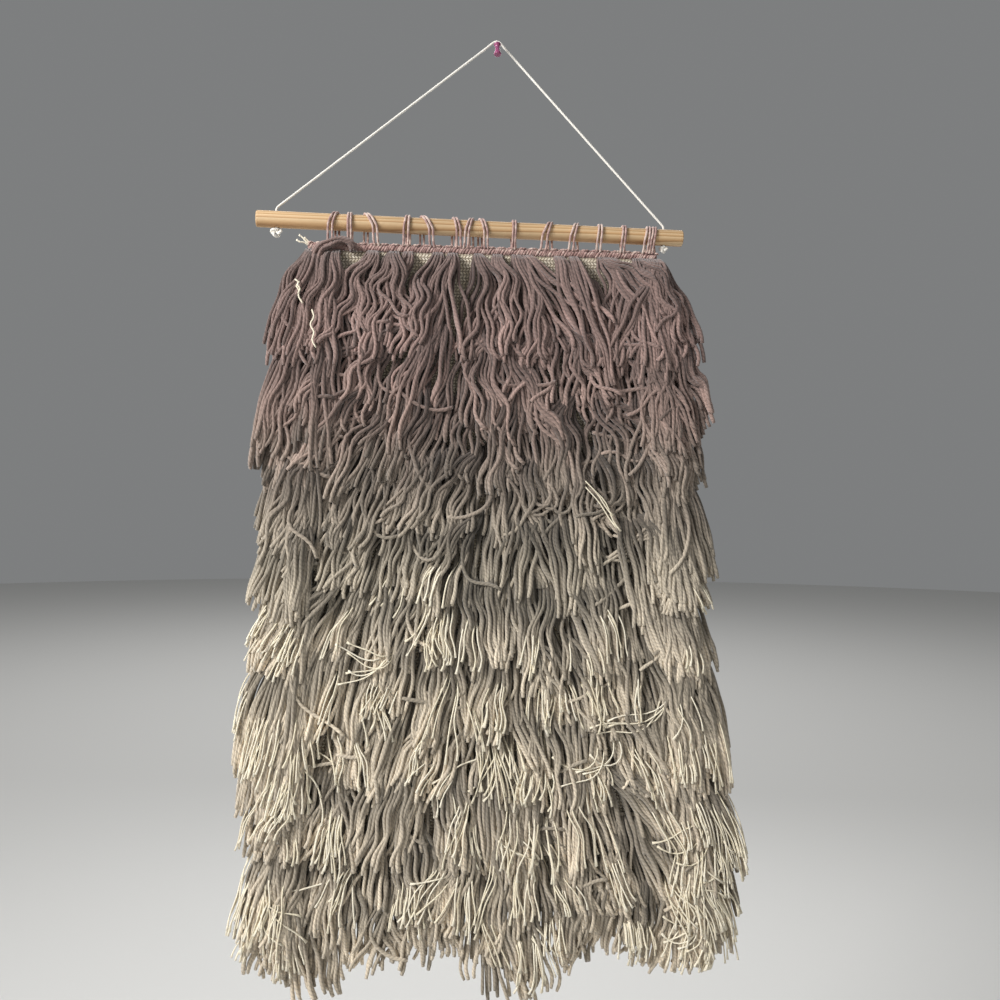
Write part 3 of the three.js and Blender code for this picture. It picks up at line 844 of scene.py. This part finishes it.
def layStrand(x, z, radius, grow=0.42):
    # depth of each point so that the strand rests on the pile, then adds itself to the pile
    row, column = cellsOf(x, z)
    around = [pile[row + i, column + j] for i in (-1, 0, 1) for j in (-1, 0, 1)]
    depth = np.mean(around, axis=0) + radius * 0.9
    for _ in range(4):
        depth[1:-1] = (depth[:-2] + depth[1:-1] * 1.2 + depth[2:]) / 3.2
        depth[-1] = (depth[-1] + depth[-2]) / 2
    marks = np.linspace(0, len(x) - 1, len(x) * 3)
    spots = np.arange(len(x))
    fine = [np.interp(marks, spots, value) for value in (x, z, depth)]
    row, column = cellsOf(fine[0], fine[1])
    for j in (-1, 0, 1):
        level = fine[2] + radius * (grow if j == 0 else grow - 0.5)
        np.maximum.at(pile, (row, column + j), level)
    return depth


def wander(values, s):
    # passes evenly spaced values without corners
    spot = s * (len(values) - 1)
    k = np.clip(spot.astype(int), 0, len(values) - 2)
    t = smoothStep(spot - k)
    return values[k] * (1 - t) + values[k + 1] * t


def hangLine(rootX, rootZ, length, turn):
    # a strand from its root; turn is its angle from straight down at each point
    step = length / (len(turn) - 1)
    middle = (turn[:-1] + turn[1:]) / 2
    x = rootX + np.concatenate([[0], np.cumsum(np.sin(middle) * step)])
    z = rootZ - np.concatenate([[0], np.cumsum(np.cos(middle) * step)])
    return x, z


def makeBundles(k):
    # where each bundle is tied and how it hangs; shared by its strands
    low, high = boxOf(f"knot_row_{k + 1:02d}")
    left, right, z = low[0] + 0.003, high[0] - 0.003, (low[2] + high[2]) / 2
    count = int(round((right - left) / fringeSet["bundleWidth"])) + 1
    lengthVaries = fringeSet["lengthVaries"][k == tierCount - 1]
    bundles = []
    for b in range(count):
        across = b / (count - 1)
        c = across * 2 - 1
        x = left + (right - left) * across + rng.normal(0, 0.0022) * (0 < b < count - 1)
        if k == 0:
            for a, d in fringeSet["bare"]:
                if a < x < d:
                    x = a - 0.003 if x - a < d - x else d + 0.003
        drift = fringeSet["drift"] * math.sin(2 * math.pi * x / fringeSet["driftLength"] + 1.9 * k)
        sideways = fringeSet["edgeLean"][k] * np.sign(c) * abs(c) ** (0.55 if k < 4 else 0.9)
        calm = math.radians(sideways + fringeSet["sway"][k])
        lean = calm + math.radians(drift * (1 - abs(c)) + rng.normal(0, 8))
        size = fringeSet["waves"][k] * rng.uniform(0.5, 1.35)
        ragged = fringeSet["ragged"] * math.sin(2 * math.pi * x / fringeSet["raggedLength"] + 2.3 * k)
        ragged = 1 + ragged * (0 < k < tierCount - 1)
        flip = rng.choice([-1, 1])
        bends = []
        for i in range(fringeSet["bends"]):
            bends.append(flip * (-1) ** i * size * rng.uniform(0.2, 1.3) + rng.normal(0, 0.07))
        bends[0] *= 0.4
        bundles.append({
            "x": x, "z": z, "side": c, "spacing": (right - left) / (count - 1), "lean": lean, "calm": calm,
            "length": ragged * fringeSet["lengths"][k] * rng.normal(1, lengthVaries),
            "bends": np.array(bends), "curl": 0.0, "bulge": rng.uniform(*fringeSet["bulge"]),
            "shade": rng.uniform(*fringeSet["shade"]), "spread": rng.uniform(*fringeSet["spread"]),
            "tip": rng.uniform(*fringeSet["tip"]), "crown": rng.uniform(*fringeSet["crown"]),
        })
        for tier, a, d, turn in fringeSet["curls"]:
            if tier == k and a < x < d:
                bundles[-1]["curl"] = turn
    if k == 0:  # a short bundle is tied at the foot of each bare patch
        for a, d in fringeSet["bare"]:
            short = dict(bundles[len(bundles) // 2], x=(a + d) / 2, z=z - fringeSet["bareTall"])
            short["lean"] = rng.normal(-0.1, 0.1)
            short["length"] *= 0.86
            short["shade"] = rng.uniform(0.2, 0.8)
            bundles.append(short)
    # the ends of the row are tied again and again, so that no cloth shows at its sides
    for edge in (bundles[0], bundles[count - 1]):
        edge["length"] *= fringeSet["edgeLonger"]
        for i, share in enumerate((0.8, 0.5, 0.2)):
            bends = edge["bends"] * rng.uniform(-1, 1)
            shade = rng.uniform(*fringeSet["shade"])
            calm = edge["calm"] * share
            x = edge["x"] - edge["side"] * fringeSet["edgeStep"] * (i + 0.5)
            bundles.append({**edge, "x": x, "lean": calm, "calm": calm, "bends": bends, "shade": shade})
    return bundles


def leanOf(bundle, extra):
    # leans out quickly below the knot, then falls a little back towards straight down; None is a calm lean
    lean = bundle["calm"] if extra is None else bundle["lean"] + extra
    return lean * np.array([0.75, 1.15, 1.08, 0.98, 0.88])


def keptIn(x, z):
    # yarn spreads only so far past the sides of the cloth
    left, right = clothEdges(z)
    reach = fringeSet["beyondCloth"]
    x = np.where(x > right, right + reach * np.tanh((x - right) / reach), x)
    return np.where(x < left, left - reach * np.tanh((left - x) / reach), x)


def liftOf(bundle, s, bulge, tip, crown):
    # how far a strand stands off what it lies on: swelling below the knot, crowned, with loose tips
    lift = bundle["bulge"] * bulge * (s / 0.22) * np.exp(1 - s / 0.22) + bundle["tip"] * tip * s ** 2
    lift = lift + bundle["crown"] * crown * np.sin(math.pi * np.clip(s * 1.1, 0, 1))
    uneven = wander(rng.uniform(0, fringeSet["uneven"], 5), s)
    return lift + uneven * np.sin(math.pi * np.clip(s * 1.3, 0, 0.8))


def bundleStrands(k, bundle, layer):
    # one layer of a bundle's strands, side by side
    s = np.linspace(0, 1, fringeSet["points"])
    number, kind = fringeSet["layers"][layer]
    fill = kind == "fill"
    pitch = fringeSet["thickness"] * (1.15 + 0.12 * layer) * bundle["spread"]
    layerLean = rng.normal(0, 0.2 if k < 5 else 0.11)
    if abs(bundle["side"]) > 0.75:  # the outer bundles only fall inwards
        layerLean = -np.sign(bundle["side"]) * abs(layerLean) * 0.6
    if fill:
        pitch = bundle["spacing"] / number * 1.1
        layerLean = None
    rootZ = bundle["z"] + (0.0042 if k == 0 else 0)
    for i in range(number):
        side = i - (number - 1) / 2 + rng.normal(0, 0.16)
        rootX = bundle["x"] + side / number * 2 * fringeSet["rootHalf"]
        length = bundle["length"] * rng.normal(1, 0.055) * (0.88 if fill else 1)
        own = rng.normal(0, 0.07, fringeSet["bends"])
        own[0] *= 0.3
        shared = bundle["bends"] * (0.5 if fill else 1)
        drift = rng.normal(0, 0.02)
        turn = wander(leanOf(bundle, layerLean), s)
        turn = turn + wander(shared, np.clip(s + drift, 0, 1)) + wander(own, s)
        fan = side * (pitch - 2 * fringeSet["rootHalf"] / number) / length
        turn = turn + fan * np.interp(s, [0, 0.27, 0.52, 1], fringeSet["opening"][kind])
        curl = bundle["curl"] * rng.uniform(0.6, 1.1) * (not fill)
        if rng.random() < (0.04 if k < 4 else 0.015):
            inward = -np.sign(bundle["side"]) if abs(bundle["side"]) > 0.6 else rng.choice([-1, 1])
            curl = inward * rng.uniform(0.6, 1.9)
        if curl:
            turn = turn + curl * smoothStep((s - rng.uniform(0.25, 0.5)) / 0.5)
        x, z = hangLine(rootX, rootZ, length, turn)
        x = keptIn(x, z)
        radius = fringeSet["thickness"] / 2 * rng.uniform(0.86, 1.06)
        depth = layStrand(x, z, radius)
        crown = 0 if fill else 1 - (2 * side / number) ** 2
        lift = liftOf(bundle, s, 0.3 if fill else 1, rng.uniform(0.1, 1.2), crown)
        lift = lift + min(abs(curl), 1.5) * 0.002 * s
        depth = fringeSet["deepest"] * np.tanh((depth + lift) / fringeSet["deepest"])
        depth[0] = 0.0004
        depth[1] = min(depth[1], 0.003 + 0.5 * depth[2])
        radii = radius / (fringeSet["thickness"] / 2) * (1 + 0.05 * np.sin(s * 23 + rng.uniform(0, 6)))
        radii[-2:] *= (1.08, 0.9)
        radii[:3] *= (0.6, 0.7, 0.88)  # drawn tight by the knot
        # a strand's tone near its bundle's; the fill layer under the bundles is made 0.5 darker as painted shade
        shade = np.clip(0.25 + 0.6 * bundle["shade"] + rng.normal(0, 0.15) - 0.5 * fill, 0, 1)
        yield strand(lineOf(x, clothLow[1] - depth, z), radii, shade)


def cottonStrands(k, bundles):
    # cotton starts inside the wool and comes out on top towards its cut ends
    s = np.linspace(0, 1, fringeSet["points"])
    strings = []
    left = fringeSet["cottonPerTier"][k]
    while left > 0:
        bundle = bundles[rng.integers(len(bundles))]
        group = int(min(left, rng.integers(3, 7)))
        left -= group
        extra = rng.normal(0, 0.14)
        shared = bundle["bends"] * 0.7 + rng.normal(0, 0.12, fringeSet["bends"])
        out = rng.uniform(0.42, 0.78)
        start = bundle["x"] + rng.normal(0, 0.003)
        arc = rng.choice([-1, 1]) * rng.uniform(0.8, 2.4) * (rng.random() < 0.1)
        for i in range(group):
            length = bundle["length"] * rng.uniform(0.84, 1.06)
            own = rng.normal(0, 0.11, fringeSet["bends"])
            row = i - (group - 1) / 2
            turn = leanOf(bundle, extra + row * 0.035 + rng.normal(0, 0.02))
            turn = wander(turn, s) + wander(shared + own, s)
            turn = turn + arc * rng.uniform(0.1, 1.2) * smoothStep((s - rng.uniform(0.2, 0.55)) / 0.5)
            x, z = hangLine(start + row * 0.0009, bundle["z"], length, turn)
            x = keptIn(x, z)
            depth = layStrand(x, z, fringeSet["cottonThickness"] / 2, 0.4)
            depth = depth + liftOf(bundle, s, 1, 1.15, 1.1) + fringeSet["cottonProud"]
            depth = depth * (0.3 + 0.7 * smoothStep((s - out + 0.12) / 0.24))
            depth = fringeSet["cottonDeepest"] * np.tanh(depth / fringeSet["cottonDeepest"])
            depth[0] = 0.0006
            radii = np.ones(len(s))
            radii[-2:] = (1.1, 1.8)  # a cut end frays and widens
            strings.append(strand(lineOf(x, clothLow[1] - depth, z), radii, rng.uniform(0, 1)))
    return strings


def shuffled(items):
    return [items[i] for i in rng.permutation(len(items))]


def scrapStrands():
    strands = []
    for spots in straySet["scraps"]:
        line = smoothRoute([(x, 0, z) for x, z in spots], 0.0022)
        depth = layStrand(line[:, 0], line[:, 2], fringeSet["cottonThickness"] / 2) + straySet["scrapLift"]
        line[:, 1] = clothLow[1] - fringeSet["cottonDeepest"] * np.tanh(depth / fringeSet["cottonDeepest"])
        strands.append(strand(line, 1.0, 0.5))
    return strands


def makeTier(k, bundles, wool, cotton):
    strands = []
    for layer in range(len(fringeSet["layers"])):
        for bundle in shuffled(bundles):
            strands.extend(bundleStrands(k, bundle, layer))
    strings = cottonStrands(k, bundles)
    node = f"fringe_{k + 1:02d}"
    piece = yarnPiece(f"fringeWool{k + 1:02d}", strands, fringeSet["thickness"], wool)
    hangFrom(piece, k, slotOf(node), node)
    if strings:
        piece = yarnPiece(f"fringeCotton{k + 1:02d}", strings, fringeSet["cottonThickness"], cotton, rounds=0)
        hangFrom(piece, k, slotOf(node))
    if k == 0:
        scraps = yarnPiece("cottonScraps", scrapStrands(), fringeSet["cottonThickness"], cotton)
        place(scraps, "tier_01", "cotton_cloth")
    print("tier", k + 1, "yarns", len(strands), "cotton", len(strings))


def slotOf(node):
    return next(s["material_slot"] for s in frame["record"]["subparts"] if s["node"] == node)


# stray yarn at the top left: a clump thrown over the sewn edge, and cotton ends

straySet = {
    "yarns": 5, "yarnsApart": 0.0019, "thinner": 0.86, "scrapLift": 0.014,
    "clump": [  # the middle of the clump, from behind the edge over its top and down the front
        (-0.139, -0.0155, -0.2145), (-0.140, -0.018, -0.2085), (-0.146, -0.0185, -0.2045),
        (-0.1545, -0.0185, -0.2055), (-0.163, -0.019, -0.2085), (-0.1705, -0.0215, -0.214),
        (-0.1755, -0.024, -0.2275), (-0.1775, -0.0265, -0.2435), (-0.184, -0.0285, -0.262),
    ],
    "apart": [0.5, 0.6, 0.75, 0.95, 1.2, 1.5, 1.9, 2.4, 3.0],  # how far its yarns part at each point
    "scraps": [  # x and z of bits of cotton caught on the top tier
        [(-0.1925, -0.247), (-0.189, -0.2495), (-0.191, -0.2535), (-0.1885, -0.257), (-0.189, -0.2625),
         (-0.185, -0.2695)],
        [(-0.188, -0.249), (-0.190, -0.252), (-0.1875, -0.2555), (-0.1895, -0.2605)],
        [(-0.1765, -0.275), (-0.1745, -0.282), (-0.1775, -0.2895), (-0.174, -0.297), (-0.1755, -0.3045),
         (-0.172, -0.3115)],
    ],
    "ends": [  # cotton ends that stand up beside the clump
        [(-0.181, -0.0128, -0.2085), (-0.185, -0.0138, -0.205), (-0.1885, -0.0145, -0.2012),
         (-0.1915, -0.015, -0.1995)],
        [(-0.182, -0.0135, -0.209), (-0.187, -0.015, -0.2065), (-0.1905, -0.016, -0.2065),
         (-0.1935, -0.016, -0.2045)],
        [(-0.18, -0.0125, -0.208), (-0.183, -0.013, -0.2045), (-0.1865, -0.014, -0.2015)],
    ],
}


def makeStray(wool, cotton):
    strands = []
    for i in range(straySet["yarns"]):
        line = np.array(straySet["clump"]) + rng.normal(0, 0.0008, (len(straySet["clump"]), 3))
        line = smoothRoute(line, 0.004)
        s = np.linspace(0, 1, len(line))
        apart = np.interp(s, np.linspace(0, 1, len(straySet["apart"])), straySet["apart"])
        side = (i - (straySet["yarns"] - 1) / 2) * straySet["yarnsApart"] * apart
        away = np.gradient(line, axis=0)
        away = lineOf(away[:, 2], 0, -away[:, 0])
        away /= np.linalg.norm(away, axis=1)[:, None]
        line = line + away * side[:, None]
        line[:, 1] += -0.0022 * (i % 2) + 0.0008 * np.sin(s * 9 + i)
        line = line[: len(line) - int(rng.integers(0, 4))]
        strands.append(strand(line, 1.0, rng.uniform(0.2, 0.8)))
    piece = yarnPiece("strayClump", strands, fringeSet["thickness"] * straySet["thinner"], wool)
    hangFrom(piece, 0, "wool_mauve")
    ends = [strand(smoothRoute(line, 0.0015), 1.0, 0.9) for line in straySet["ends"]]
    for item in ends:
        item["radii"][-1] = 1.5  # frayed
    place(yarnPiece("cottonEnds", ends, fringeSet["cottonThickness"], cotton), "panel", "cotton_cloth")
    print("stray yarn", len(strands), "cotton ends", len(ends))


def makePanel():
    edgeWool = edgeWoolMaterial()
    # the three wool materials differ only in their painted shade towards the knot and painted light at the cut end
    wool = dyedWoolMaterial("dipDyedWoolYarn", *woolSet["rootShadeTipLight"])
    topWool = dyedWoolMaterial("dipDyedWoolTopRow", *woolSet["topRowShadeLight"])
    knotWool = dyedWoolMaterial("dipDyedWoolKnots", *woolSet["knotShadeLight"])
    cotton = cottonStringMaterial()
    header = makeHeader(edgeWool)
    makeLoops(edgeWool)
    cloth = makeCloth()
    for k in reversed(range(tierCount)):
        bundles = makeBundles(k)
        makeKnotRow(k, bundles, knotWool)
        makeTier(k, bundles, wool if k else topWool, cotton)
    makeStray(topWool, cotton)


makePanel()
print("pile stands out", round(float(pile.max()), 4), "m")


# floor, light and the last lines

lightSet = {
    "floorDrop": 0.7,
    "key": {"place": (-1.9, -1.3, 0.6), "size": 1.0, "power": 84, "aim": (0, 0, -0.5)},
    "fill": {"place": (1.4, -1.9, 0.1), "size": 2.0, "power": 5, "aim": (0, 0, -0.5)},
    "back": {"place": (0.3, 2.0, 0.5), "size": 2.0, "power": 22, "aim": (0, 0, -0.5)},
    "floor": {"place": (0, 5.0, 3.5), "size": 5.0, "power": 170, "aim": (0, 5.5, -1.3)},
    "room": 0.3,
}


def makeFloor():
    bm = bmesh.new()
    bmesh.ops.create_circle(bm, cap_ends=True, radius=14, segments=96)
    bmesh.ops.translate(bm, verts=bm.verts, vec=(0, 0, cadBox[0][2] - lightSet["floorDrop"]))
    material, tree, shader = newMaterial("paleMattFloor")
    setNode(tree, shader, Base_Color=hexToLinear("#d9d8d5"), Roughness=0.9)
    linkObject("floor", meshFrom(bm, "floor"), material)


def makeLights():
    for name in ("key", "fill", "back", "floor"):
        facts = lightSet[name]
        data = bpy.data.lights.new(name, "AREA")
        data.size = facts["size"]
        data.energy = facts["power"]
        lamp = bpy.data.objects.new(name, data)
        lamp.location = facts["place"]
        lamp.rotation_euler = (Vector(facts["aim"]) - lamp.location).to_track_quat("-Z", "Y").to_euler()
        scene.collection.objects.link(lamp)
    world = bpy.data.worlds.new("paleRoom")
    scene.world = world
    world.use_nodes = True
    world.node_tree.nodes["Background"].inputs[0].default_value = hexToLinear("#d8dadb")
    world.node_tree.nodes["Background"].inputs[1].default_value = lightSet["room"]


makeFloor()
makeLights()
scene.view_settings.view_transform = "Standard"  # keeps the dyes as they are chosen
